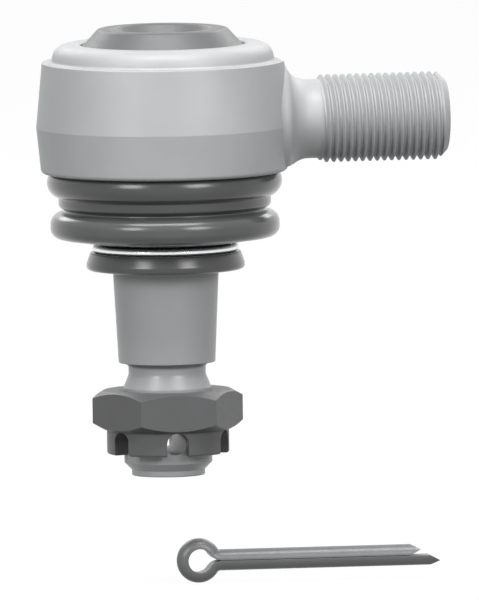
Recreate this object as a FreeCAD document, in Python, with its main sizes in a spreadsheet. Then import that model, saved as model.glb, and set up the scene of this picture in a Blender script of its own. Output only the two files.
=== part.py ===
import FreeCAD, Part
import math
import os
import re

import Sketcher

# Angle ball joint with a tapered ball stud and a threaded side shank, in millimetres.
# The origin is the ball's centre. The stud hangs down along -Z, the closed cover is on top,
# and the shank points along +X. Every revolved outline is drawn in the XZ plane, as pairs
# of a distance from the axis and a height, with the radius that rounds that corner.

SIZES = {
    # ball and the two shells that it turns in
    "ball_radius": 14.0,
    "seat_wall": 3.6,
    "seat_edge": 0.5,
    "seat_split": 1.0,
    "upper_seat_height": 9.6,
    "running_gap": 0.1,
    "seated_gap": 0.05,
    # housing barrel
    "barrel_wall": 7.2,
    "barrel_top_height": 12.7,
    "parting_swell": 1.3,
    "parting_depth": 0.7,
    "barrel_draft": 0.9,
    "barrel_depth": 10.0,
    "barrel_edge": 0.9,
    "shelf_height": 12.6,
    "shelf_width": 2.4,
    "rim_wall": 2.8,
    "rim_lean": 0.4,
    "rim_height": 1.75,
    "rim_overlap": 3.1,
    "rim_roll": 3.1,
    "rim_nose_roll": 0.6,
    "rim_nose_depth": 0.75,
    "ledge_fillet": 0.5,
    "ledge_edge": 0.2,
    "seal_groove_wall": 0.4,
    "seal_groove_width": 1.3,
    "seal_groove_depth": 1.15,
    "seal_wire": 1.1,
    # opening that lets the stud swing, and the collar that carries the boot
    "floor_depth": 2.2,
    "throat_radius": 13.2,
    "throat_depth": 7.6,
    "mouth_radius": 16.9,
    "collar_radius": 20.0,
    "collar_depth": 15.5,
    "collar_edge": 0.4,
    # boss and threaded shank
    "boss_root_wall": 2.6,
    "boss_root_radius": 15.6,
    "boss_waist_step": 2.0,
    "boss_waist_radius": 12.9,
    "boss_reach_step": 4.4,
    "boss_radius": 12.2,
    "boss_hollow_round": 4.0,
    "boss_edge_round": 2.0,
    "boss_top_inset": 0.5,
    "boss_bottom_inset": 1.05,
    "shoulder_run": 1.6,
    "shoulder_slope": 0.7,
    "shoulder_lift": 0.28,
    "neck_corner_step": 6.4,
    "neck_flare": 5.0,
    "shank_thread_radius": 9.0,
    "thread_depth": 0.92,
    "shank_thread_start": 32.6,
    "shank_reach": 58.3,
    "shank_chamfer": 1.7,
    "centre_mark_radius": 1.7,
    "centre_mark_depth": 2.9,
    # closing cover
    "cover_thickness": 2.0,
    "cover_crown_radius": 13.2,
    "cover_rise": 6.85,
    "cover_flank_run": 4.45,
    "cover_crown_roll": 1.1,
    "dish_edge_width": 2.3,
    "dish_wall_run": 2.2,
    "dish_depth": 2.45,
    "dish_roll": 1.3,
    "pressing_allowance": 0.9,
    # disc spring between upper shell and cover
    "spring_side_gap": 0.4,
    "spring_width": 5.8,
    "spring_thickness": 1.2,
    # ball stud
    "stud_neck_radius": 8.2,
    "stud_neck_round": 4.0,
    "stud_flare_length": 6.4,
    "stud_shoulder_round": 2.0,
    "stud_collar_length": 6.0,
    "taper_top_radius": 10.83,
    "taper_length": 18.65,
    "taper_ratio": 10.0,
    "taper_edge": 0.2,
    "taper_end_dish": 0.1,
    "groove_radius": 7.9,
    "groove_step": 0.75,
    "groove_land": 1.7,
    "groove_flare": 2.7,
    "stud_thread_radius": 9.0,
    "stud_thread_length": 15.3,
    "pilot_radius": 7.5,
    "pilot_length": 1.2,
    "pilot_edge": 0.3,
    "pin_hole_lift": 2.4,
    # castle nut
    "nut_thread_lead": 0.5,
    "nut_across_flats": 27.0,
    "nut_hex_height": 8.0,
    "nut_crown_height": 5.0,
    "nut_crown_radius": 12.5,
    "nut_chamfer_inset": 0.45,
    "nut_chamfer_angle": 30.0,
    "nut_slot_depth": 4.85,
    "slot_arch_ratio": 0.98,
    "nut_sides": 6.0,
    "nut_bore_chamfer": 0.9,
    "crown_edge": 0.5,
    # rubber boot
    "boot_wall": 1.7,
    "boot_lip_edge": 0.3,
    "boot_lip_gap": 0.3,
    "boot_throat_gap": 0.6,
    "boot_bead_wall": 3.9,
    "boot_bead_straight": 4.2,
    "boot_bead_roll": 3.2,
    "boot_crease_inset": 2.15,
    "boot_crease_drop": 0.75,
    "boot_band_height": 1.85,
    "boot_band_roll": 0.9,
    "boot_valley_inset": 1.85,
    "boot_valley_drop": 0.95,
    "boot_bulge_radius": 23.45,
    "boot_bulge_shoulder": 0.45,
    "boot_bulge_height": 4.85,
    "boot_bulge_roll": 2.5,
    "boot_underside_roll": 2.1,
    "boot_inner_round": 0.57,
    "boot_under_drop": 1.45,
    "boot_neck_radius": 13.4,
    "boot_foot_gap": 0.4,
    "boot_ring_groove": 1.75,
    "boot_foot_step": 1.7,
    "boot_foot_flare": 1.1,
    "boot_foot_height": 2.3,
    "boot_foot_edge": 0.8,
    "boot_foot_sole": 1.35,
    "lower_ring_wire": 0.75,
    # steel sleeves inside the boot's two ends
    "sleeve_wall": 0.9,
    "upper_sleeve_height": 4.5,
    "foot_sleeve_height": 3.9,
    "foot_sleeve_lift": 0.5,
    # split pin, of half-round wire
    "pin_wire_radius": 2.12,
    "pin_leg_gap": 0.1,
    "pin_eye_radius": 2.45,
    "pin_neck_bend": 2.9,
    "pin_short_leg": 45.7,
    "pin_long_leg": 49.7,
    "pin_tip_bevel": 2.0,
    "pin_tip_height": 1.166,
    "pin_across": 6.0,
    "pin_drop": 90.0,
}

# The words for a corner that isn't rounded, and for a point that lies on an axis.
SQUARE = "0"
ON_AXIS = "0"

document = FreeCAD.newDocument("AngleBallJoint")
sheet = document.addObject("Spreadsheet::Sheet", "Sizes")
for row, (alias, number) in enumerate(SIZES.items(), start=1):
    sheet.set(f"A{row}", alias)
    sheet.set(f"B{row}", str(number))
    sheet.setAlias(f"B{row}", alias)
document.recompute()


def bound(text):
    """The expression with each alias written as a cell of the sheet."""
    return re.sub(r"[a-z_]+", lambda word: f"Sizes.{word[0]}" if word[0] in SIZES else word[0], text)


def value(text):
    return float(sheet.evalExpression(bound(text)))


def origin_feature(body, role):
    return next(part for part in body.Origin.OriginFeatures if part.Role == role)


def new_body(label):
    body = document.addObject("PartDesign::Body", "".join(word.title() for word in label.split("_")))
    body.Label = label
    return body


def new_sketch(body, name, plane="XZ_Plane"):
    sketch = body.newObject("Sketcher::SketchObject", name)
    sketch.AttachmentSupport = (origin_feature(body, plane), "")
    sketch.MapMode = "FlatFace"
    return sketch


def dimension(sketch, kind, places, text, name):
    """A driving dimension of the sketch that follows the sheet; zero becomes a point on an axis."""
    if kind in ("DistanceX", "DistanceY") and text == ON_AXIS:
        axis = -2 if kind == "DistanceX" else -1
        sketch.addConstraint(Sketcher.Constraint("PointOnObject", *places, axis))
        return
    start = (-1, 1) if kind in ("DistanceX", "DistanceY") else ()
    index = sketch.addConstraint(Sketcher.Constraint(kind, *start, *places, value(text)))
    sketch.renameConstraint(index, name)
    sketch.setExpression(f"Constraints.{name}", bound(text))


def rounding(before, corner, after, radius):
    """Where a corner's round starts and ends, its centre, and whether it turns left."""
    back = (before - corner).normalize()
    ahead = (after - corner).normalize()
    half = back.getAngle(ahead) / 2
    start = corner + back * (radius / math.tan(half))
    end = corner + ahead * (radius / math.tan(half))
    centre = corner + (back + ahead).normalize() * (radius / math.sin(half))
    return start, end, centre, back.cross(ahead).z < 0


def outline(sketch, corners):
    """A closed outline through the corners, each placed by two sizes and rounded by a third."""
    count = len(corners)
    points = [FreeCAD.Vector(value(across), value(up), 0) for across, up, _ in corners]
    rounds = {
        number: rounding(points[number - 1], points[number], points[(number + 1) % count], value(radius))
        for number, (_, _, radius) in enumerate(corners)
        if radius != SQUARE
    }
    for number in range(count):
        following = (number + 1) % count
        start = rounds[number][1] if number in rounds else points[number]
        end = rounds[following][0] if following in rounds else points[following]
        sketch.addGeometry(Part.LineSegment(start, end), False)
    for number, (across, up, radius) in enumerate(corners):
        previous = (number - 1) % count
        if number not in rounds:
            sketch.addConstraint(Sketcher.Constraint("Coincident", previous, 2, number, 1))
            spot = (number, 1)
        else:
            start, end, centre, left = rounds[number]
            first, last = (start, end) if left else (end, start)
            turn = [math.atan2(place.y - centre.y, place.x - centre.x) for place in (first, last)]
            circle = Part.Circle(centre, FreeCAD.Vector(0, 0, 1), value(radius))
            arc = sketch.addGeometry(Part.ArcOfCircle(circle, *turn), False)
            point = sketch.addGeometry(Part.Point(points[number]), True)
            ends = (1, 2) if left else (2, 1)
            sketch.addConstraint([
                Sketcher.Constraint("Tangent", previous, 2, arc, ends[0]),
                Sketcher.Constraint("Tangent", number, 1, arc, ends[1]),
                Sketcher.Constraint("PointOnObject", point, 1, previous),
                Sketcher.Constraint("PointOnObject", point, 1, number),
            ])
            dimension(sketch, "Radius", (arc,), radius, f"round_{number}")
            spot = (point, 1)
        dimension(sketch, "DistanceX", spot, across, f"across_{number}")
        dimension(sketch, "DistanceY", spot, up, f"up_{number}")
    return sketch


def turned(body, name, corners, cut=False, axis="V_Axis"):
    """A full turn of an outline about the sketch's own axis, added or cut."""
    sketch = outline(new_sketch(body, f"{name}Outline"), corners)
    feature = body.newObject("PartDesign::Groove" if cut else "PartDesign::Revolution", name)
    feature.Profile = sketch
    feature.ReferenceAxis = (sketch, [axis])
    feature.Angle = 360
    body.Tip = feature
    return feature


def primitive(body, kind, name, **sizes):
    feature = body.newObject(f"PartDesign::{kind}", name)
    for size, text in sizes.items():
        feature.setExpression(size, bound(text))
    body.Tip = feature
    return feature


def lift(feature, height):
    """Moves a primitive along its body's Z axis."""
    feature.setExpression("Placement.Base.z", bound(height))


# Sizes that follow from the sheet, shared by neighbouring pieces so that they always fit.
BORE = "(ball_radius + seat_wall)"
RECESS = f"({BORE} + shelf_width)"
LIP_UNDERSIDE = "(shelf_height + cover_thickness)"
RIM_TOP = f"({LIP_UNDERSIDE} + rim_height)"
RIM_NOSE = f"({RECESS} - rim_overlap)"
BARREL_TOP = f"({BORE} + barrel_wall)"
BARREL_WIDEST = f"({BARREL_TOP} + parting_swell)"
BARREL_BOTTOM = f"({BARREL_WIDEST} - barrel_draft)"
SHANK_ROOT = "(shank_thread_radius - thread_depth)"
BOOT_TOP = "(0 - barrel_depth - running_gap)"
COVER_FLANK_FOOT = "(cover_crown_radius + cover_flank_run)"
COVER_CROWN = "(shelf_height + cover_rise)"
BOOT_BULGE_TOP = (
    f"({BOOT_TOP} - boot_bead_straight - boot_crease_drop - boot_band_height - boot_valley_drop"
    " - boot_bulge_shoulder)"
)
BOOT_NECK_TOP = f"({BOOT_BULGE_TOP} - boot_bulge_height - boot_under_drop)"
FOOT_SHOULDER = f"({BOOT_NECK_TOP} - boot_ring_groove)"
BOOT_BOTTOM_DEPTH = f"(0 - {FOOT_SHOULDER} + boot_foot_height + boot_foot_sole)"
TAPER_TOP_DEPTH = f"({BOOT_BOTTOM_DEPTH} + boot_foot_gap)"
TAPER_BOTTOM_DEPTH = f"({TAPER_TOP_DEPTH} + taper_length)"
TAPER_BOTTOM = "(taper_top_radius - taper_length / taper_ratio / 2)"
BOSS_ROOT = f"({BORE} + boss_root_wall)"
STUD_SHOULDER = "taper_top_radius"
FOOT_SLEEVE_BOTTOM = f"(0 - {BOOT_BOTTOM_DEPTH} + foot_sleeve_lift)"
FOOT_SLEEVE_TOP = f"({FOOT_SLEEVE_BOTTOM} + foot_sleeve_height)"
FOOT_SLEEVE_OUTSIDE = f"({STUD_SHOULDER} + running_gap + sleeve_wall)"
UPPER_SLEEVE_BOTTOM = f"({BOOT_TOP} - upper_sleeve_height)"
UPPER_SLEEVE_OUTSIDE = "(collar_radius + seated_gap + sleeve_wall)"
PIN_HOLE = "(pin_wire_radius + pin_leg_gap / 2 + running_gap)"
THREAD_TOP_DEPTH = f"({TAPER_BOTTOM_DEPTH} + groove_step + groove_land + groove_flare)"
THREAD_END_DEPTH = f"({THREAD_TOP_DEPTH} + stud_thread_length)"
THREAD_TIP_DEPTH = f"({THREAD_END_DEPTH} + stud_thread_radius - pilot_radius)"
STUD_TIP_DEPTH = f"({THREAD_TIP_DEPTH} + pilot_length)"
NUT_TOP_DEPTH = f"({THREAD_TOP_DEPTH} + nut_thread_lead)"
PIN_HOLE_DEPTH = f"({NUT_TOP_DEPTH} + nut_hex_height + nut_crown_height - pin_hole_lift)"


def make_housing():
    """One forging: shank, neck and boss, then the barrel with its rim and collar."""
    body = new_body("housing")
    shank_thread_foot = "shank_thread_start - thread_depth"
    turned(body, "Shank", [
        (BOSS_ROOT, ON_AXIS, SQUARE),
        (BOSS_ROOT, "boss_root_radius", SQUARE),
        (f"{BOSS_ROOT} + boss_waist_step", "boss_waist_radius", "boss_hollow_round"),
        (f"{BOSS_ROOT} + boss_reach_step", "boss_radius", "boss_edge_round"),
        (f"{BOSS_ROOT} + neck_corner_step", SHANK_ROOT, "neck_flare"),
        (shank_thread_foot, SHANK_ROOT, SQUARE),
        ("shank_thread_start", "shank_thread_radius", SQUARE),
        ("shank_reach - shank_chamfer", "shank_thread_radius", SQUARE),
        ("shank_reach", "shank_thread_radius - shank_chamfer", SQUARE),
        ("shank_reach", "centre_mark_radius", SQUARE),
        ("shank_reach - centre_mark_depth", ON_AXIS, SQUARE),
    ], axis="H_Axis")
    boss_top = "(barrel_top_height - boss_top_inset)"
    boss_bottom = "(0 - barrel_depth + boss_bottom_inset)"
    for name, level, away in (("Top", boss_top, "+"), ("Bottom", boss_bottom, "-")):
        turned(body, f"Boss{name}Trim", [
            (BORE, level, SQUARE),
            ("shank_reach", level, SQUARE),
            ("shank_reach", f"{level} {away} boss_root_radius", SQUARE),
            (BORE, f"{level} {away} boss_root_radius", SQUARE),
        ], cut=True)
    groove_outer = f"{RECESS} - seal_groove_wall"
    groove_inner = f"{groove_outer} - seal_groove_width"
    groove_floor = "shelf_height - seal_groove_depth"
    rim_foot = f"{RECESS} + rim_wall"
    turned(body, "Barrel", [
        ("collar_radius", "0 - collar_depth", "collar_edge"),
        ("collar_radius", "0 - barrel_depth", SQUARE),
        (BARREL_BOTTOM, "0 - barrel_depth", "barrel_edge"),
        (BARREL_WIDEST, "0 - parting_depth", SQUARE),
        (BARREL_TOP, "barrel_top_height", "ledge_edge"),
        (rim_foot, "barrel_top_height", "ledge_fillet"),
        (f"{rim_foot} - rim_lean", RIM_TOP, "rim_roll"),
        (RIM_NOSE, RIM_TOP, "rim_nose_roll"),
        (RIM_NOSE, f"{RIM_TOP} - rim_nose_depth", SQUARE),
        (f"{COVER_FLANK_FOOT} + running_gap", LIP_UNDERSIDE, SQUARE),
        (RECESS, LIP_UNDERSIDE, SQUARE),
        (RECESS, "shelf_height", SQUARE),
        (groove_outer, "shelf_height", SQUARE),
        (groove_outer, groove_floor, SQUARE),
        (groove_inner, groove_floor, SQUARE),
        (groove_inner, "shelf_height", SQUARE),
        (BORE, "shelf_height", SQUARE),
        (BORE, "0 - floor_depth", SQUARE),
        ("throat_radius", "0 - throat_depth", SQUARE),
        ("mouth_radius", "0 - collar_depth", SQUARE),
    ])
    shoulder_start = f"({BARREL_TOP} - shoulder_run)"
    shoulder_end = f"({BARREL_TOP} + shoulder_run)"
    shoulder_top = "(barrel_top_height + shoulder_lift)"
    shoulder = outline(new_sketch(body, "ShoulderOutline"), [
        (shoulder_start, shoulder_top, SQUARE),
        (shoulder_end, f"{shoulder_top} - ({shoulder_end} - {shoulder_start}) * shoulder_slope", SQUARE),
        (shoulder_end, f"{shoulder_top} + shoulder_run", SQUARE),
        (shoulder_start, f"{shoulder_top} + shoulder_run", SQUARE),
    ])
    pocket = body.newObject("PartDesign::Pocket", "Shoulder")
    pocket.Profile = shoulder
    pocket.SideType = "Symmetric"
    pocket.setExpression("Length", bound(BARREL_WIDEST))
    body.Tip = pocket
    return body


def make_closing_cover():
    """Pressed cap: flange under the rolled rim, 45 degree flank, rounded crown, dished middle."""
    body = new_body("closing_cover")
    flange = f"{RECESS} - seated_gap"
    dish_edge = "(cover_crown_radius - dish_edge_width)"
    dish_foot = f"({dish_edge} - dish_wall_run)"
    under_crown = f"{COVER_CROWN} - cover_thickness"
    dish_floor = f"({COVER_CROWN} - dish_depth)"
    turned(body, "Cap", [
        (ON_AXIS, dish_floor, SQUARE),
        (dish_foot, dish_floor, "dish_roll"),
        (dish_edge, COVER_CROWN, "cover_crown_roll"),
        ("cover_crown_radius", COVER_CROWN, "cover_crown_roll"),
        (COVER_FLANK_FOOT, LIP_UNDERSIDE, SQUARE),
        (flange, LIP_UNDERSIDE, SQUARE),
        (flange, "shelf_height", SQUARE),
        (f"{COVER_FLANK_FOOT} - pressing_allowance", "shelf_height", SQUARE),
        ("cover_crown_radius - pressing_allowance", under_crown, SQUARE),
        (f"{dish_edge} + pressing_allowance", under_crown, SQUARE),
        (f"{dish_foot} + pressing_allowance", f"{dish_floor} - cover_thickness", SQUARE),
        (ON_AXIS, f"{dish_floor} - cover_thickness", SQUARE),
    ])
    return body


def make_cover_seal():
    """Rubber O-ring in the groove under the cover's flange."""
    body = new_body("cover_seal")
    ring = primitive(
        body, "AdditiveTorus", "SealRing",
        Radius1=f"{RECESS} - seal_groove_wall - seal_groove_width / 2",
        Radius2="seal_wire / 2",
    )
    lift(ring, "shelf_height - seal_groove_depth + seal_wire / 2")
    return body


def make_seat(label, corners):
    """A bearing shell: its blank starts well inside the ball, which hollows it with a running gap."""
    body = new_body(label)
    turned(body, "Shell", corners)
    primitive(body, "SubtractiveSphere", "BallSocket", Radius="ball_radius + running_gap")
    return body


def make_upper_seat():
    outside = f"{BORE} - running_gap"
    inside = "ball_radius / 2"
    return make_seat("upper_seat", [
        (inside, "seat_split / 2", SQUARE),
        (outside, "seat_split / 2", SQUARE),
        (outside, "upper_seat_height", "seat_edge"),
        (inside, "upper_seat_height", SQUARE),
    ])


def make_lower_seat():
    outside = f"{BORE} - running_gap"
    inside = "ball_radius / 2"
    return make_seat("lower_seat", [
        (inside, "0 - seat_split / 2", SQUARE),
        (inside, "0 - throat_depth + running_gap", SQUARE),
        ("throat_radius - running_gap", "0 - throat_depth + running_gap", SQUARE),
        (outside, "0 - floor_depth + running_gap", SQUARE),
        (outside, "0 - seat_split / 2", SQUARE),
    ])


def make_pressure_spring():
    """Disc spring: its inner edge bears on the upper shell, its outer edge on the cover."""
    body = new_body("pressure_spring")
    low = "(upper_seat_height + running_gap)"
    high = "(shelf_height - seated_gap)"
    outer = f"({BORE} - spring_side_gap)"
    inner = f"({outer} - spring_width)"
    turned(body, "Disc", [
        (inner, low, SQUARE),
        (outer, f"{high} - spring_thickness", SQUARE),
        (outer, high, SQUARE),
        (inner, f"{low} + spring_thickness", SQUARE),
    ])
    return body


def make_ball_stud():
    """Ball, neck, shoulder, 1:10 taper, relief groove, threaded end, cross hole and pilot."""
    body = new_body("ball_stud")
    shoulder_depth = f"({TAPER_TOP_DEPTH} - stud_collar_length)"
    groove_top = f"{TAPER_BOTTOM_DEPTH} + groove_step"
    turned(body, "Stem", [
        (ON_AXIS, "0 - stud_neck_radius", SQUARE),
        ("stud_neck_radius", "0 - stud_neck_radius", SQUARE),
        ("stud_neck_radius", f"0 - {shoulder_depth} + stud_flare_length", "stud_neck_round"),
        ("taper_top_radius", f"0 - {shoulder_depth}", "stud_shoulder_round"),
        ("taper_top_radius", f"0 - {TAPER_TOP_DEPTH}", SQUARE),
        (TAPER_BOTTOM, f"0 - {TAPER_BOTTOM_DEPTH}", "taper_edge"),
        ("groove_radius + groove_step", f"0 - {TAPER_BOTTOM_DEPTH} - taper_end_dish", SQUARE),
        ("groove_radius", f"0 - ({groove_top})", "groove_step"),
        ("groove_radius", f"0 - ({groove_top}) - groove_land", "groove_land"),
        ("stud_thread_radius", f"0 - {THREAD_TOP_DEPTH}", SQUARE),
        ("stud_thread_radius", f"0 - {THREAD_END_DEPTH}", SQUARE),
        ("pilot_radius", f"0 - {THREAD_TIP_DEPTH}", SQUARE),
        ("pilot_radius", f"0 - {STUD_TIP_DEPTH}", "pilot_edge"),
        ("centre_mark_radius", f"0 - {STUD_TIP_DEPTH}", SQUARE),
        (ON_AXIS, f"0 - {STUD_TIP_DEPTH} + centre_mark_depth", SQUARE),
    ])
    primitive(body, "AdditiveSphere", "Ball", Radius="ball_radius")
    drilled = "(stud_thread_radius * 4)"
    hole = primitive(body, "SubtractiveCylinder", "PinHole", Radius=PIN_HOLE, Height=drilled)
    hole.Placement.Rotation = FreeCAD.Rotation(FreeCAD.Vector(1, 0, 0), 90)
    hole.setExpression("Placement.Base.y", bound(f"{drilled} / 2"))
    lift(hole, f"0 - {PIN_HOLE_DEPTH}")
    return body


def make_castle_nut():
    """Hexagon with both faces chamfered, and a round crown below it with six arched slots."""
    body = new_body("castle_nut")
    hexagon = primitive(
        body, "AdditivePrism", "Hexagon",
        Circumradius="nut_across_flats / 2 / cos(180 / nut_sides)", Height="nut_hex_height",
        Polygon="nut_sides",
    )
    lift(hexagon, "0 - nut_hex_height")
    chamfer_radius = "(nut_across_flats / 2 - nut_chamfer_inset)"
    chamfer_drop = f"({chamfer_radius} * tan(nut_chamfer_angle))"
    beyond = f"{chamfer_radius} * 2"
    for name, face, inward in (("Top", ON_AXIS, "-"), ("Bottom", "0 - nut_hex_height", "+")):
        turned(body, f"{name}Chamfer", [
            (chamfer_radius, face, SQUARE),
            (beyond, f"{face} {inward} {chamfer_drop}", SQUARE),
            (beyond, face, SQUARE),
        ], cut=True)
    crown_bottom = "0 - nut_hex_height - nut_crown_height"
    turned(body, "Crown", [
        (ON_AXIS, "0 - nut_hex_height / 2", SQUARE),
        ("nut_crown_radius", "0 - nut_hex_height / 2", SQUARE),
        ("nut_crown_radius", crown_bottom, "crown_edge"),
        (ON_AXIS, crown_bottom, SQUARE),
    ])
    bore = "(stud_thread_radius + seated_gap)"
    turned(body, "ThreadBore", [
        (ON_AXIS, ON_AXIS, SQUARE),
        (f"{bore} + nut_bore_chamfer", ON_AXIS, SQUARE),
        (bore, "0 - nut_bore_chamfer", SQUARE),
        (bore, crown_bottom, SQUARE),
        (ON_AXIS, crown_bottom, SQUARE),
    ], cut=True)
    document.recompute()
    arch = f"{PIN_HOLE} * slot_arch_ratio"
    slot = outline(new_sketch(body, "SlotOutline"), [
        (f"0 - {PIN_HOLE}", f"{crown_bottom} - crown_edge", SQUARE),
        (PIN_HOLE, f"{crown_bottom} - crown_edge", SQUARE),
        (PIN_HOLE, f"{crown_bottom} + nut_slot_depth", arch),
        (f"0 - {PIN_HOLE}", f"{crown_bottom} + nut_slot_depth", arch),
    ])
    pocket = body.newObject("PartDesign::Pocket", "Slot")
    pocket.Profile = slot
    pocket.setExpression("Length", bound("nut_crown_radius * 2"))
    slots = body.newObject("PartDesign::PolarPattern", "Slots")
    slots.Originals = [pocket]
    slots.Axis = (origin_feature(body, "Z_Axis"), [""])
    slots.Angle = 360
    slots.setExpression("Occurrences", bound("nut_sides"))
    body.Tip = slots
    body.setExpression("Placement.Base.z", bound(f"0 - {NUT_TOP_DEPTH}"))
    return body


def make_boot():
    """Rubber bellows: bead on the housing collar, band, one deep fold, and a foot on the stud."""
    body = new_body("boot")
    bead = "(collar_radius + boot_bead_wall)"
    bead_end = f"({BOOT_TOP} - boot_bead_straight)"
    band = f"({bead} - boot_crease_inset)"
    crease = f"({bead_end} - boot_crease_drop)"
    band_end = f"({crease} - boot_band_height)"
    valley = f"({band} - boot_valley_inset)"
    valley_height = f"({band_end} - boot_valley_drop)"
    bulge_end = f"({BOOT_BULGE_TOP} - boot_bulge_height)"
    foot_bottom = f"(0 - {BOOT_BOTTOM_DEPTH})"
    foot = "(boot_neck_radius + boot_foot_step + boot_foot_flare)"
    fold = "(boot_bulge_radius - boot_wall)"
    turned(body, "Bellows", [
        (bead, BOOT_TOP, "boot_lip_edge"),
        (bead, bead_end, "boot_bead_roll"),
        (band, crease, SQUARE),
        (band, band_end, "boot_band_roll"),
        (valley, valley_height, SQUARE),
        ("boot_bulge_radius", BOOT_BULGE_TOP, "boot_bulge_roll"),
        ("boot_bulge_radius", bulge_end, "boot_underside_roll"),
        ("boot_neck_radius", BOOT_NECK_TOP, SQUARE),
        ("boot_neck_radius", FOOT_SHOULDER, SQUARE),
        ("boot_neck_radius + boot_foot_step", FOOT_SHOULDER, "boot_lip_edge"),
        (foot, f"{foot_bottom} + boot_foot_sole", "boot_foot_edge"),
        (foot, foot_bottom, "boot_foot_edge"),
        (f"{STUD_SHOULDER} + boot_lip_gap", foot_bottom, SQUARE),
        (f"{STUD_SHOULDER} + boot_lip_gap", f"{FOOT_SLEEVE_BOTTOM} - seated_gap", SQUARE),
        (f"{FOOT_SLEEVE_OUTSIDE} + seated_gap", f"{FOOT_SLEEVE_BOTTOM} - seated_gap", SQUARE),
        (f"{FOOT_SLEEVE_OUTSIDE} + seated_gap", f"{FOOT_SLEEVE_TOP} + seated_gap", SQUARE),
        (f"{STUD_SHOULDER} + boot_throat_gap", f"{FOOT_SLEEVE_TOP} + seated_gap", SQUARE),
        (f"{STUD_SHOULDER} + boot_throat_gap", f"{BOOT_NECK_TOP} + boot_wall / 2", SQUARE),
        ("boot_neck_radius", f"{BOOT_NECK_TOP} + boot_wall", SQUARE),
        (fold, f"{bulge_end} + boot_wall", "boot_inner_round"),
        (fold, f"{BOOT_BULGE_TOP} - boot_wall", "boot_inner_round"),
        (f"{valley} - boot_wall", f"{valley_height} - boot_wall", "boot_inner_round"),
        (f"{valley} - boot_wall", band_end, SQUARE),
        ("collar_radius + seated_gap", "0 - collar_depth - boot_lip_gap", SQUARE),
        ("collar_radius + seated_gap", f"{UPPER_SLEEVE_BOTTOM} - seated_gap", SQUARE),
        (f"{UPPER_SLEEVE_OUTSIDE} + seated_gap", f"{UPPER_SLEEVE_BOTTOM} - seated_gap", SQUARE),
        (f"{UPPER_SLEEVE_OUTSIDE} + seated_gap", BOOT_TOP, SQUARE),
    ])
    return body


def make_boot_lower_ring():
    """Round wire ring in the groove above the boot's foot."""
    body = new_body("boot_lower_ring")
    ring = primitive(
        body, "AdditiveTorus", "ClampRing",
        Radius1="boot_neck_radius + seated_gap + lower_ring_wire",
        Radius2="lower_ring_wire",
    )
    lift(ring, f"{FOOT_SHOULDER} + seated_gap + lower_ring_wire")
    return body


def make_sleeve(label, inside, outside, top, bottom):
    """A short steel sleeve set in the inner face of one end of the boot."""
    body = new_body(label)
    turned(body, "Sleeve", [
        (inside, top, SQUARE),
        (outside, top, SQUARE),
        (outside, bottom, SQUARE),
        (inside, bottom, SQUARE),
    ])
    return body


def make_boot_upper_ring():
    inside = "collar_radius + seated_gap"
    return make_sleeve(
        "boot_upper_ring", inside, UPPER_SLEEVE_OUTSIDE, BOOT_TOP, UPPER_SLEEVE_BOTTOM,
    )


def make_boot_foot_insert():
    inside = f"{STUD_SHOULDER} + running_gap"
    return make_sleeve(
        "boot_foot_insert", inside, FOOT_SLEEVE_OUTSIDE, FOOT_SLEEVE_TOP, FOOT_SLEEVE_BOTTOM,
    )


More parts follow.
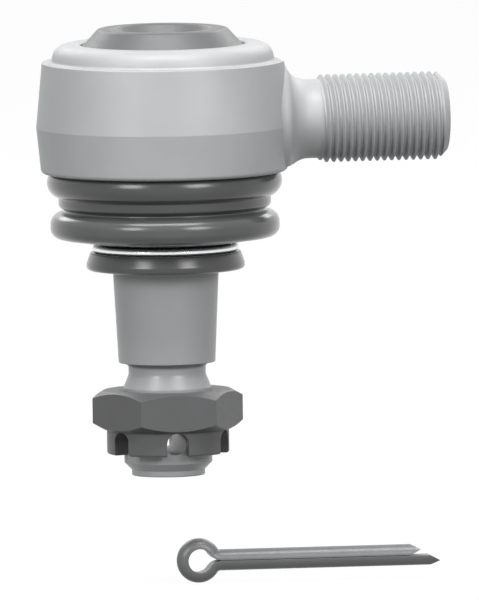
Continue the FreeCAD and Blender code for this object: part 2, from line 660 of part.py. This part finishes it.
def make_cotter_pin():
    """Split pin of half-round wire, about its eye's centre: two legs along X and a round eye."""
    body = new_body("cotter_pin")
    path = new_sketch(body, "PinPath")
    eye = value("pin_eye_radius")
    bend = value("pin_neck_bend")
    half_gap = value("pin_leg_gap / 2")
    neck = math.sqrt((eye + bend) ** 2 - (half_gap + bend) ** 2)
    upward = FreeCAD.Vector(0, 0, 1)
    swing = math.atan2(half_gap + bend, neck)
    legs = []
    bends = []
    for side, reach in ((1, "pin_short_leg"), (-1, "pin_long_leg")):
        tip = FreeCAD.Vector(value(reach), side * half_gap, 0)
        foot = FreeCAD.Vector(neck, side * half_gap, 0)
        legs.append(path.addGeometry(Part.LineSegment(tip, foot), False))
        circle = Part.Circle(FreeCAD.Vector(neck, side * (half_gap + bend), 0), upward, bend)
        turn = (math.pi + swing, 1.5 * math.pi) if side > 0 else (math.pi / 2, math.pi - swing)
        bends.append(path.addGeometry(Part.ArcOfCircle(circle, *turn), False))
    loop = path.addGeometry(
        Part.ArcOfCircle(Part.Circle(FreeCAD.Vector(), upward, eye), swing, 2 * math.pi - swing), False,
    )
    path.addConstraint([
        Sketcher.Constraint("Coincident", loop, 3, -1, 1),
        Sketcher.Constraint("Horizontal", legs[0]),
        Sketcher.Constraint("Horizontal", legs[1]),
        Sketcher.Constraint("Tangent", legs[0], 2, bends[0], 2),
        Sketcher.Constraint("Tangent", legs[1], 2, bends[1], 1),
        Sketcher.Constraint("Tangent", bends[0], 1, loop, 1),
        Sketcher.Constraint("Tangent", bends[1], 2, loop, 2),
        Sketcher.Constraint("Equal", bends[0], bends[1]),
    ])
    dimension(path, "Radius", (loop,), "pin_eye_radius", "eye")
    dimension(path, "Radius", (bends[0],), "pin_neck_bend", "neck_bend")
    dimension(path, "DistanceX", (legs[0], 1), "pin_short_leg", "short_leg")
    dimension(path, "DistanceX", (legs[1], 1), "pin_long_leg", "long_leg")
    dimension(path, "DistanceY", (legs[0], 1), "pin_leg_gap / 2", "upper_flat")
    dimension(path, "DistanceY", (legs[1], 1), "0 - pin_leg_gap / 2", "lower_flat")

    section = new_sketch(body, "WireSection", "YZ_Plane")
    section.setExpression("AttachmentOffset.Base.z", bound("pin_short_leg"))
    wire = value("pin_wire_radius")
    flat = section.addGeometry(
        Part.LineSegment(FreeCAD.Vector(-wire, half_gap, 0), FreeCAD.Vector(wire, half_gap, 0)), False,
    )
    back = section.addGeometry(
        Part.ArcOfCircle(Part.Circle(FreeCAD.Vector(0, half_gap, 0), upward, wire), 0, math.pi), False,
    )
    section.addConstraint([
        Sketcher.Constraint("Coincident", flat, 2, back, 1),
        Sketcher.Constraint("Coincident", flat, 1, back, 2),
        Sketcher.Constraint("PointOnObject", back, 3, flat),
        Sketcher.Constraint("PointOnObject", back, 3, -2),
        Sketcher.Constraint("Horizontal", flat),
    ])
    dimension(section, "Radius", (back,), "pin_wire_radius", "wire")
    dimension(section, "DistanceY", (flat, 1), "pin_leg_gap / 2", "flat")
    document.recompute()
    bent = body.newObject("PartDesign::AdditivePipe", "BentWire")
    bent.Profile = section
    bent.Spine = (path, [f"Edge{number + 1}" for number in range(5)])
    body.Tip = bent
    document.recompute()

    # Each leg's tip is a wedge, cut from the leg's back and from the gap between the legs.
    for name, side, reach in (("Short", "", "pin_short_leg"), ("Long", "0 - ", "pin_long_leg")):
        tip = (f"{reach} + pin_leg_gap", f"{side}pin_tip_height", SQUARE)
        for face, level in (("Back", "(pin_wire_radius + pin_leg_gap)"), ("Flat", "pin_leg_gap / 4")):
            wedge = outline(new_sketch(body, f"{name}{face}Wedge"), [
                (f"{reach} - pin_tip_bevel", f"{side}{level}", SQUARE),
                tip,
                (f"{reach} + pin_leg_gap", f"{side}{level}", SQUARE),
            ])
            cut = body.newObject("PartDesign::Pocket", f"{name}{face}Cut")
            cut.Profile = wedge
            cut.SideType = "Symmetric"
            cut.setExpression("Length", bound("(pin_wire_radius + pin_leg_gap) * 2"))
            body.Tip = cut
    body.setExpression("Placement.Base.x", bound("pin_across"))
    body.setExpression("Placement.Base.z", bound("0 - pin_drop"))
    return body


for make in (
    make_housing, make_closing_cover, make_cover_seal, make_upper_seat, make_lower_seat,
    make_pressure_spring, make_ball_stud, make_boot, make_boot_upper_ring, make_boot_lower_ring,
    make_boot_foot_insert, make_castle_nut, make_cotter_pin,
):
    make()
document.recompute()

failed = [thing.Name for thing in document.Objects if {"Invalid", "Error"} & set(thing.State)]
if failed:
    raise RuntimeError(f"these objects failed to compute: {failed}")
bodies = [thing for thing in document.Objects if thing.TypeId == "PartDesign::Body"]
for body in bodies:
    if body.Shape.isNull() or not body.Shape.isValid() or len(body.Shape.Solids) != 1:
        raise RuntimeError(f"{body.Label} isn't one valid solid")

os.makedirs("parts", exist_ok=True)
for body in bodies:
    body.Shape.exportStep(f"parts/{body.Label}.step")
    box = body.Shape.BoundBox
    print(f"{body.Label}: {body.Shape.Volume:.1f} mm3, z {box.ZMin:.2f} to {box.ZMax:.2f}")
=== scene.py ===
import math

import bpy
import bmesh
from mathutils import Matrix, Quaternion, Vector


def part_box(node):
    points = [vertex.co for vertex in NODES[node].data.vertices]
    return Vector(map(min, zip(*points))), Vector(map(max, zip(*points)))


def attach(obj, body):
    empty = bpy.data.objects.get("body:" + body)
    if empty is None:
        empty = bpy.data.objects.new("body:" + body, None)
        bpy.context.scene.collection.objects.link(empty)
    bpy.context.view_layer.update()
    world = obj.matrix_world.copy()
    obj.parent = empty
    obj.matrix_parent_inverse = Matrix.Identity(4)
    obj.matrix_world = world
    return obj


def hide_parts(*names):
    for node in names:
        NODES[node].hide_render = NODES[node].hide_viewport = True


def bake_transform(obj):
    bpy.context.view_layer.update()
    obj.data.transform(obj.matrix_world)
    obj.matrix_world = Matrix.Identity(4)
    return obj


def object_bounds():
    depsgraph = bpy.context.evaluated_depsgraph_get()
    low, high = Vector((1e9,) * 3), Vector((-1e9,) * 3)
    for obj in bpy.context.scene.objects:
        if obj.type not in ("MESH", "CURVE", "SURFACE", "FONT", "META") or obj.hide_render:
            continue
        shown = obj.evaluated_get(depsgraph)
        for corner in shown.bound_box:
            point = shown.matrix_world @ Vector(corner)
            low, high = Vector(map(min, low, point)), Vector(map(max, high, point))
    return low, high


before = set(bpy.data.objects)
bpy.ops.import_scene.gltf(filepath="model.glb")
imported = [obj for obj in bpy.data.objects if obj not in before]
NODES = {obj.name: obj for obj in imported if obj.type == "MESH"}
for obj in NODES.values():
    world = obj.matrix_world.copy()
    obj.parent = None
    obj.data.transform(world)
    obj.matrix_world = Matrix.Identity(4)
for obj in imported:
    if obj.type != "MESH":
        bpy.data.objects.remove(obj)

CAD_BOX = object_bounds()
MM = 0.001

# The photograph's frame, and where the ball's centre lies in it.
PICTURE_WIDTH = 479
PICTURE_HEIGHT = 600
PIXELS_PER_MM = 4.89
BALL_CENTRE_PX = (163.7, 122.7)
VIEW_AZIMUTH = math.radians(-9.5)
VIEW_ELEVATION = math.radians(4.8)
VIEW_ROLL = math.radians(0.8)
CAMERA_DISTANCE = 2.0
CLIP_END = 20

# Sizes in millimetres that the CAD frame's boxes don't give.
THREAD_START = 31.68
THREAD_ROOT = 8.08
THREAD_CREST = 9.0
THREAD_PITCH = 1.5
THREAD_CREST_FLAT = 0.19
THREAD_FLANK_SLOPE = math.tan(math.radians(30))
THREAD_CHAMFER = 1.7
THREAD_RUN_IN = 0.92
THREAD_SIDES = 96
NECK_OVERLAP = 0.5
CENTRE_MARK_RADIUS = 1.7
CENTRE_MARK_DEPTH = 2.9
SHANK_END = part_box("housing")[1].x / MM
BOOT_SIDES = 192
BOOT_LONGEST_RUN = 0.5

# A round has a point at least this often.
ARC_STEP = math.radians(7)

# Edges that bend more than this stay sharp.
SHARP_EDGE = math.radians(35)
THREAD_SHARP_EDGE = math.radians(50)

# Points nearer than this are one point, in millimetres.
WELD = 0.002
SAME_PLACE = 0.001


def direction(azimuth, elevation):
    """From the object towards a place round it: azimuth 0 is the front, along -Y."""
    return Vector((
        math.sin(azimuth) * math.cos(elevation),
        -math.cos(azimuth) * math.cos(elevation),
        math.sin(elevation),
    ))


# Camera


def make_camera():
    data = bpy.data.cameras.new("Camera")
    data.type = "ORTHO"
    data.ortho_scale = PICTURE_HEIGHT / PIXELS_PER_MM * MM
    camera = bpy.data.objects.new("Camera", data)
    bpy.context.scene.collection.objects.link(camera)
    back = direction(VIEW_AZIMUTH, VIEW_ELEVATION)
    turn = (-back).to_track_quat("-Z", "Y") @ Quaternion((0, 0, 1), -VIEW_ROLL)
    right = turn @ Vector((1, 0, 0))
    up = turn @ Vector((0, 1, 0))
    across = (BALL_CENTRE_PX[0] - PICTURE_WIDTH / 2) / PIXELS_PER_MM * MM
    rise = (PICTURE_HEIGHT / 2 - BALL_CENTRE_PX[1]) / PIXELS_PER_MM * MM
    camera.rotation_mode = "QUATERNION"
    camera.rotation_quaternion = turn
    camera.location = back * CAMERA_DISTANCE - right * across - up * rise
    data.clip_end = CLIP_END
    bpy.context.scene.camera = camera


# Light and floor

# The world's light is the ground's below the horizon band, and the sky's above it.
SKY_LIGHT = 0.28
GROUND_LIGHT = 0.01
HORIZON_LOW = -0.1
HORIZON_HIGH = 0.3
WHITE = (1, 1, 1, 1)
FLOOR_COLOUR = (0.05, 0.05, 0.05, 1)
FLOOR_LIFT = 0.95
FLOOR_SIZE = 9.0
FLOOR_GAP = 0.0002
LAMPS = (
    # name, azimuth and elevation from the view in degrees, distance, size, watts
    ("LampLeft", -34, 67, 1.2, 0.6, 6.9),
    ("LampRight", 34, 67, 1.2, 0.6, 6.9),
    ("LampLowLeft", -34, 22, 1.2, 0.5, 5.0),
    ("LampLowRight", 34, 22, 1.2, 0.5, 5.0),
    ("LampBackLeft", -150, 32, 1.2, 0.6, 3.0),
    ("LampBackRight", 150, 32, 1.2, 0.6, 3.0),
)


def seen_directly(tree):
    """A socket that is 1 for rays from the camera, and for mirror and glass rays."""
    path = tree.nodes.new("ShaderNodeLightPath")
    glossy = tree.nodes.new("ShaderNodeMath")
    glossy.operation = "MAXIMUM"
    tree.links.new(path.outputs["Is Camera Ray"], glossy.inputs[0])
    tree.links.new(path.outputs["Is Glossy Ray"], glossy.inputs[1])
    through = tree.nodes.new("ShaderNodeMath")
    through.operation = "MAXIMUM"
    tree.links.new(glossy.outputs[0], through.inputs[0])
    tree.links.new(path.outputs["Is Transmission Ray"], through.inputs[1])
    return through.outputs[0]


def make_world():
    """White where it is seen, and a soft light from above the horizon for everything else."""
    world = bpy.data.worlds.new("World")
    bpy.context.scene.world = world
    world.use_nodes = True
    tree = world.node_tree
    lit = tree.nodes["Background"]
    lit.inputs["Color"].default_value = WHITE
    height = tree.nodes.new("ShaderNodeSeparateXYZ")
    tree.links.new(tree.nodes.new("ShaderNodeTexCoord").outputs["Generated"], height.inputs[0])
    level = tree.nodes.new("ShaderNodeMapRange")
    for key, value in (
        ("From Min", HORIZON_LOW), ("From Max", HORIZON_HIGH),
        ("To Min", GROUND_LIGHT), ("To Max", SKY_LIGHT),
    ):
        level.inputs[key].default_value = value
    tree.links.new(height.outputs["Z"], level.inputs["Value"])
    tree.links.new(level.outputs["Result"], lit.inputs["Strength"])
    white = tree.nodes.new("ShaderNodeBackground")
    white.inputs["Color"].default_value = WHITE
    mix = tree.nodes.new("ShaderNodeMixShader")
    tree.links.new(seen_directly(tree), mix.inputs[0])
    tree.links.new(lit.outputs[0], mix.inputs[1])
    tree.links.new(white.outputs[0], mix.inputs[2])
    tree.links.new(mix.outputs[0], tree.nodes["World Output"].inputs["Surface"])


def make_lamps():
    for name, azimuth, elevation, distance, size, watts in LAMPS:
        data = bpy.data.lights.new(name, "AREA")
        data.shape = "DISK"
        data.size = size
        data.energy = watts
        lamp = bpy.data.objects.new(name, data)
        bpy.context.scene.collection.objects.link(lamp)
        away = direction(VIEW_AZIMUTH + math.radians(azimuth), math.radians(elevation))
        lamp.location = away * distance
        lamp.rotation_mode = "QUATERNION"
        lamp.rotation_quaternion = (-away).to_track_quat("-Z", "Y")


def make_floor():
    """A floor that looks white, keeps the object's shadow, and is clear from below."""
    mesh = bpy.data.meshes.new("Floor")
    half = FLOOR_SIZE / 2
    level = CAD_BOX[0].z - FLOOR_GAP
    corners = [(-half, -half, level), (half, -half, level), (half, half, level), (-half, half, level)]
    mesh.from_pydata(corners, [], [(0, 1, 2, 3)])
    floor = bpy.data.objects.new("Floor", mesh)
    bpy.context.scene.collection.objects.link(floor)
    material = bpy.data.materials.new("Floor")
    material.use_nodes = True
    tree = material.node_tree
    tree.nodes.remove(tree.nodes["Principled BSDF"])
    diffuse = tree.nodes.new("ShaderNodeBsdfDiffuse")
    diffuse.inputs["Color"].default_value = FLOOR_COLOUR
    lift = tree.nodes.new("ShaderNodeEmission")
    strength = tree.nodes.new("ShaderNodeMath")
    strength.operation = "MULTIPLY"
    strength.inputs[1].default_value = FLOOR_LIFT
    tree.links.new(seen_directly(tree), strength.inputs[0])
    tree.links.new(strength.outputs[0], lift.inputs["Strength"])
    both = tree.nodes.new("ShaderNodeAddShader")
    tree.links.new(diffuse.outputs[0], both.inputs[0])
    tree.links.new(lift.outputs[0], both.inputs[1])
    clear_below = tree.nodes.new("ShaderNodeMixShader")
    tree.links.new(tree.nodes.new("ShaderNodeNewGeometry").outputs["Backfacing"], clear_below.inputs[0])
    tree.links.new(both.outputs[0], clear_below.inputs[1])
    tree.links.new(tree.nodes.new("ShaderNodeBsdfTransparent").outputs[0], clear_below.inputs[2])
    tree.links.new(clear_below.outputs[0], tree.nodes["Material Output"].inputs["Surface"])
    mesh.materials.append(material)


# Finishes

# Noise scales count grains to a metre. Bumps are in millimetres.
NOISE_LOW = 0.3
NOISE_HIGH = 0.7
BEVEL_SAMPLES = 4
STEEL_CLOUDS = 110
STEEL_GRAIN = 1400
STEEL_GRAIN_BUMP = 0.004
STEEL_SHEEN = 0.25
TURNING_MARKS = (2600, 4)
PLASTIC_CLOUDS = 300
PLASTIC_GRAIN = 2500
PLASTIC_GRAIN_BUMP = 0.003
PLASTIC_WARMTH = 0.02
RUBBER_BLOOM = 70
RUBBER_SKIN = 1800
RUBBER_SKIN_BUMP = 0.004
RUBBER_WARMTH = -0.02


class Finish:
    """A material whose principled shader is fed by procedural nodes in the object's own space."""

    def __init__(self, name):
        self.material = bpy.data.materials.new(name)
        self.material.use_nodes = True
        self.tree = self.material.node_tree
        self.shader = self.tree.nodes["Principled BSDF"]
        self.place = self.node("ShaderNodeTexCoord").outputs["Object"]

    def node(self, kind, inputs=None, **settings):
        made = self.tree.nodes.new(kind)
        for key, setting in settings.items():
            setattr(made, key, setting)
        for key, value in (inputs or {}).items():
            self.feed(made.inputs[key], value)
        return made

    def feed(self, socket, value):
        if isinstance(value, bpy.types.NodeSocket):
            self.tree.links.new(value, socket)
        else:
            socket.default_value = value

    def set(self, **values):
        for key, value in values.items():
            self.feed(self.shader.inputs[key.replace("_", " ")], value)

    def noise(self, scale, detail=3.0, place=None):
        made = self.node(
            "ShaderNodeTexNoise", {"Vector": place or self.place, "Scale": scale, "Detail": detail},
        )
        return made.outputs["Fac"]

    def spread(self, value, low, high):
        """Noise, nearly all of which lies between the two ends, mapped to low to high."""
        made = self.node(
            "ShaderNodeMapRange",
            {"Value": value, "From Min": NOISE_LOW, "From Max": NOISE_HIGH, "To Min": low, "To Max": high},
        )
        return made.outputs["Result"]

    def mixed(self, share, first, second):
        made = self.node("ShaderNodeMix", {"Factor": share}, data_type="RGBA")
        colours = [socket for socket in made.inputs if socket.type == "RGBA"]
        self.feed(colours[0], first)
        self.feed(colours[1], second)
        return [socket for socket in made.outputs if socket.type == "RGBA"][0]

    def stretched(self, along, across):
        """Coordinates squeezed so that noise runs in lines: a size along Z, and one across it."""
        made = self.node("ShaderNodeMapping", {"Vector": self.place, "Scale": (across, across, along)})
        return made.outputs["Vector"]

    def bumped(self, height, distance, normal=None):
        inputs = {"Height": height, "Distance": distance}
        if normal:
            inputs["Normal"] = normal
        return self.node("ShaderNodeBump", inputs).outputs["Normal"]

    def soft_edges(self, radius):
        return self.node("ShaderNodeBevel", {"Radius": radius}, samples=BEVEL_SAMPLES).outputs["Normal"]


def grey(level, warm=0.0):
    return (level * (1 + warm), level, level * (1 - warm), 1)


def steel(name, level, roughness, metallic=0.75, mottle=0.1, marks=0.0, edge=0.15, warm=-0.015):
    """Steel with cloudy oxide, fine grain, soft edges, and turning marks about Z where marks is given."""
    finish = Finish(name)
    clouds = finish.noise(STEEL_CLOUDS, detail=5)
    grain = finish.noise(STEEL_GRAIN, detail=2)
    tone = finish.mixed(
        finish.spread(clouds, 0, 1), grey(level * (1 - mottle), warm), grey(level * (1 + mottle), warm),
    )
    normal = finish.soft_edges(edge * MM)
    if marks:
        rings = finish.noise(1.0, detail=2, place=finish.stretched(*TURNING_MARKS))
        normal = finish.bumped(rings, marks * MM, normal)
    normal = finish.bumped(grain, STEEL_GRAIN_BUMP * MM, normal)
    finish.set(
        Base_Color=tone, Metallic=metallic, Normal=normal, Specular_IOR_Level=STEEL_SHEEN,
        Roughness=finish.spread(grain, roughness - 0.05, roughness + 0.07),
    )
    return finish.material


def plastic(name, level, roughness):
    """Moulded plastic, faintly cloudy and almost smooth."""
    finish = Finish(name)
    cloud = finish.noise(PLASTIC_CLOUDS)
    tone = finish.mixed(
        finish.spread(cloud, 0, 1), grey(level * 0.95, PLASTIC_WARMTH), grey(level, PLASTIC_WARMTH),
    )
    finish.set(
        Base_Color=tone, Roughness=finish.spread(cloud, roughness, roughness + 0.1),
        Normal=finish.bumped(finish.noise(PLASTIC_GRAIN), PLASTIC_GRAIN_BUMP * MM),
    )
    return finish.material


def rubber(name, level, roughness):
    """Moulded rubber: dark, softly glossy, with a faint bloom and a fine skin."""
    finish = Finish(name)
    bloom = finish.noise(RUBBER_BLOOM, detail=5)
    skin = finish.noise(RUBBER_SKIN)
    tone = finish.mixed(
        finish.spread(bloom, 0, 1), grey(level * 0.85, RUBBER_WARMTH), grey(level * 1.2, RUBBER_WARMTH),
    )
    finish.set(
        Base_Color=tone, Roughness=finish.spread(bloom, roughness - 0.04, roughness + 0.08),
        Normal=finish.bumped(skin, RUBBER_SKIN_BUMP * MM), Specular_IOR_Level=0.1, Coat_Weight=1.0,
        Coat_Roughness=0.22,
    )
    return finish.material


def dress(node, material):
    for slot in NODES[node].material_slots:
        slot.material = material


# Mesh helpers


def rounded(corners):
    """Points of a closed outline, in millimetres, with each corner rounded by its third number."""
    points = []
    count = len(corners)
    for number, (across, up, radius) in enumerate(corners):
        corner = Vector((across, up))
        if not radius:
            points.append(corner)
            continue
        back = (Vector(corners[number - 1][:2]) - corner).normalized()
        ahead = (Vector(corners[(number + 1) % count][:2]) - corner).normalized()
        half = math.acos(max(-1, min(1, back.dot(ahead)))) / 2
        centre = corner + (back + ahead).normalized() * (radius / math.sin(half))
        start = corner + back * (radius / math.tan(half)) - centre
        end = corner + ahead * (radius / math.tan(half)) - centre
        sweep = start.angle_signed(end)
        steps = max(2, math.ceil(abs(sweep) / ARC_STEP))
        for step in range(steps + 1):
            turn = -sweep * step / steps
            points.append(centre + Vector((
                start.x * math.cos(turn) - start.y * math.sin(turn),
                start.x * math.sin(turn) + start.y * math.cos(turn),
            )))
    return points


def subdivided(points, longest):
    """The closed outline with its long runs cut into pieces no longer than longest."""
    finer = []
    for number, point in enumerate(points):
        following = points[(number + 1) % len(points)]
        cuts = max(1, math.ceil((following - point).length / longest))
        finer += [point.lerp(following, cut / cuts) for cut in range(cuts)]
    return finer


def lathe(name, points, sides):
    """A closed outline of (radius, height) points turned about Z."""
    vertices = []
    for side in range(sides):
        angle = 2 * math.pi * side / sides
        vertices += [(p.x * MM * math.cos(angle), p.x * MM * math.sin(angle), p.y * MM) for p in points]
    count = len(points)
    faces = []
    for side in range(sides):
        here = side * count
        there = (side + 1) % sides * count
        for number in range(count):
            following = (number + 1) % count
            faces.append((here + number, there + number, there + following, here + following))
    mesh = bpy.data.meshes.new(name)
    mesh.from_pydata(vertices, [], faces)
    return mesh


def finished(name, mesh, material, sharp=SHARP_EDGE):
    """An object of the mesh, facing outwards, smooth except at its sharp edges."""
    turned = bmesh.new()
    turned.from_mesh(mesh)
    bmesh.ops.recalc_face_normals(turned, faces=turned.faces)
    turned.to_mesh(mesh)
    turned.free()
    mesh.shade_smooth()
    mesh.set_sharp_from_angle(angle=sharp)
    mesh.materials.clear()
    mesh.materials.append(material)
    made = bpy.data.objects.new(name, mesh)
    bpy.context.scene.collection.objects.link(made)
    return made


# Housing with its cut thread


def thread_radius(place, tip):
    """The thread's radius at a share of the pitch, and at a distance along the shank, in millimetres."""
    crest = THREAD_CREST
    flank = (crest - THREAD_ROOT) * THREAD_FLANK_SLOPE
    past = abs(place - 0.5) * THREAD_PITCH - THREAD_CREST_FLAT / 2
    radius = crest - max(0, past) / THREAD_FLANK_SLOPE if past < flank else THREAD_ROOT
    run_in = THREAD_ROOT + (tip - THREAD_START) / THREAD_RUN_IN * (crest - THREAD_ROOT)
    chamfer = crest - (tip - (SHANK_END - THREAD_CHAMFER))
    return min(radius, max(run_in, THREAD_ROOT), chamfer)


def thread_stations():
    """Shares of the pitch at which the thread's outline has its points."""
    flank = (THREAD_CREST - THREAD_ROOT) * THREAD_FLANK_SLOPE / THREAD_PITCH
    crest = THREAD_CREST_FLAT / 2 / THREAD_PITCH
    half = [0.5 - crest - flank, 0.5 - crest - flank / 2, 0.5 - crest]
    return [0.0, half[0] / 2] + half + [1 - share for share in reversed(half)] + [1 - half[0] / 2]


def thread_mesh():
    """A helical thread on the shank, with the end's flat and its centre mark, closed inside the neck."""
    stations = thread_stations()
    end = SHANK_END
    turns = math.ceil((end - THREAD_START) / THREAD_PITCH) + 2
    rows = [turn + share for turn in range(-1, turns) for share in stations]
    mesh = bmesh.new()
    columns = []
    for side in range(THREAD_SIDES + 1):
        share = side / THREAD_SIDES
        angle = 2 * math.pi * share
        column = []
        for row in rows:
            along = THREAD_START + (row + share) * THREAD_PITCH
            place = row % 1.0
            held = min(max(along, THREAD_START), end)
            radius = thread_radius(place, held)
            column.append((held, radius))
        column = [(THREAD_START - NECK_OVERLAP, 0), (THREAD_START - NECK_OVERLAP, THREAD_ROOT)] + column
        column += [(end, CENTRE_MARK_RADIUS), (end - CENTRE_MARK_DEPTH, 0)]
        columns.append([
            mesh.verts.new((along * MM, radius * MM * math.cos(angle), radius * MM * math.sin(angle)))
            for along, radius in column
        ])
    for here, there in zip(columns, columns[1:]):
        for number in range(len(here) - 1):
            mesh.faces.new((here[number], there[number], there[number + 1], here[number + 1]))
    bmesh.ops.remove_doubles(mesh, verts=mesh.verts, dist=WELD * MM)
    bmesh.ops.dissolve_degenerate(mesh, edges=mesh.edges, dist=SAME_PLACE * MM)
    return mesh


def forging_mesh(material):
    """The CAD forging with its own normals, cut off where the thread starts and closed there."""
    mesh = NODES["housing"].data.copy()
    mesh.name = "housing_forging"
    cut = bmesh.new()
    cut.from_mesh(mesh)
    limit = THREAD_START * MM
    past = [face for face in cut.faces if face.calc_center_median().x > limit]
    bmesh.ops.delete(cut, geom=past, context="FACES")
    circle = {}
    for vertex in cut.verts:
        if abs(vertex.co.x - limit) < SAME_PLACE * MM:
            circle[round(math.atan2(vertex.co.z, vertex.co.y), 5)] = vertex.co.copy()
    cut.faces.new([cut.verts.new(circle[turn]) for turn in sorted(circle)])
    cut.to_mesh(mesh)
    cut.free()
    mesh.materials.clear()
    mesh.materials.append(material)
    return mesh


def make_housing(material):
    """The CAD forging up to its neck, carried on by a shank with a real thread."""
    body = bpy.data.objects.new("housing_forging", forging_mesh(material))
    bpy.context.scene.collection.objects.link(body)
    thread = thread_mesh()
    shank = bpy.data.meshes.new("housing_shank")
    thread.to_mesh(shank)
    thread.free()
    screw = finished("housing_shank", shank, material, sharp=THREAD_SHARP_EDGE)
    for piece in (body, screw):
        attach(piece, "joint_housing")
        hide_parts("housing")


# Boot


def boot_outline():
    """The boot's section, as (radius, height, rounding) in millimetres, inside the CAD boot's box."""
    low, high = (corner.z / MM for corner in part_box("boot"))
    return [
        # Outside, downwards: bead, band and groove, bulge, neck under the wire ring, foot.
        (23.47, high, 0), (25.41, high - 3.36, 3.2), (21.75, high - 4.95, 0.25),
        (21.75, high - 6.8, 0.9), (19.9, high - 7.75, 0.3),
        (23.45, high - 8.2, 2.5), (23.45, high - 13.05, 2.1),
        (13.4, high - 14.5, 0.3), (13.4, low + 3.65, 0.3), (15.4, low + 3.65, 0.4),
        (16.2, low + 1.35, 0.8), (16.2, low, 0.8),
        # Inside, upwards: round the foot's sleeve, up the wall, and round the upper sleeve and collar.
        (11.13, low, 0), (11.13, low + 0.45, 0), (11.88, low + 0.45, 0), (11.88, low + 4.45, 0),
        (11.43, low + 4.45, 0), (12.45, high - 13.75, 0), (13.7, high - 12.8, 0),
        (21.75, high - 11.35, 0.57), (21.75, high - 9.9, 0.57), (18.2, high - 9.45, 0.57),
        (18.2, high - 6.8, 0), (20.05, high - 5.7, 0), (20.05, high - 4.55, 0),
        (21.0, high - 4.55, 0), (21.0, high, 0),
    ]


def make_boot(material):
    points = subdivided(rounded(boot_outline()), BOOT_LONGEST_RUN)
    boot = finished("boot_bellows", lathe("boot_bellows", points, BOOT_SIDES), material)
    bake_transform(boot)
    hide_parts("boot")


bpy.context.scene.view_settings.view_transform = "Standard"
make_camera()
make_world()
make_lamps()
make_floor()

make_housing(steel("ForgedSteel", 0.46, 0.5, metallic=0.15, mottle=0.03, marks=0.005))
make_boot(rubber("BootRubber", 0.08, 0.32))
dress("closing_cover", steel("CoverSteel", 0.15, 0.4, metallic=0.15, mottle=0.03))
dress("ball_stud", steel("StudSteel", 0.43, 0.35, metallic=0.15, mottle=0.03, marks=0.005))
dress("castle_nut", steel("NutSteel", 0.135, 0.42, metallic=0.15, mottle=0.05))
dress("cotter_pin", steel("PinSteel", 0.19, 0.34, metallic=0.2, mottle=0.04, edge=0.08))
dress("boot_lower_ring", steel("RingSteel", 0.95, 0.3, metallic=0.9, mottle=0.02, edge=0.02))
zinc = steel("ZincSteel", 0.55, 0.35, metallic=0.9)
dress("boot_upper_ring", zinc)
dress("boot_foot_insert", zinc)
dress("pressure_spring", steel("SpringSteel", 0.25, 0.35, metallic=0.9))
shell = plastic("Acetal", 0.8, 0.35)
dress("upper_seat", shell)
dress("lower_seat", shell)
dress("cover_seal", rubber("SealRubber", 0.04, 0.45))
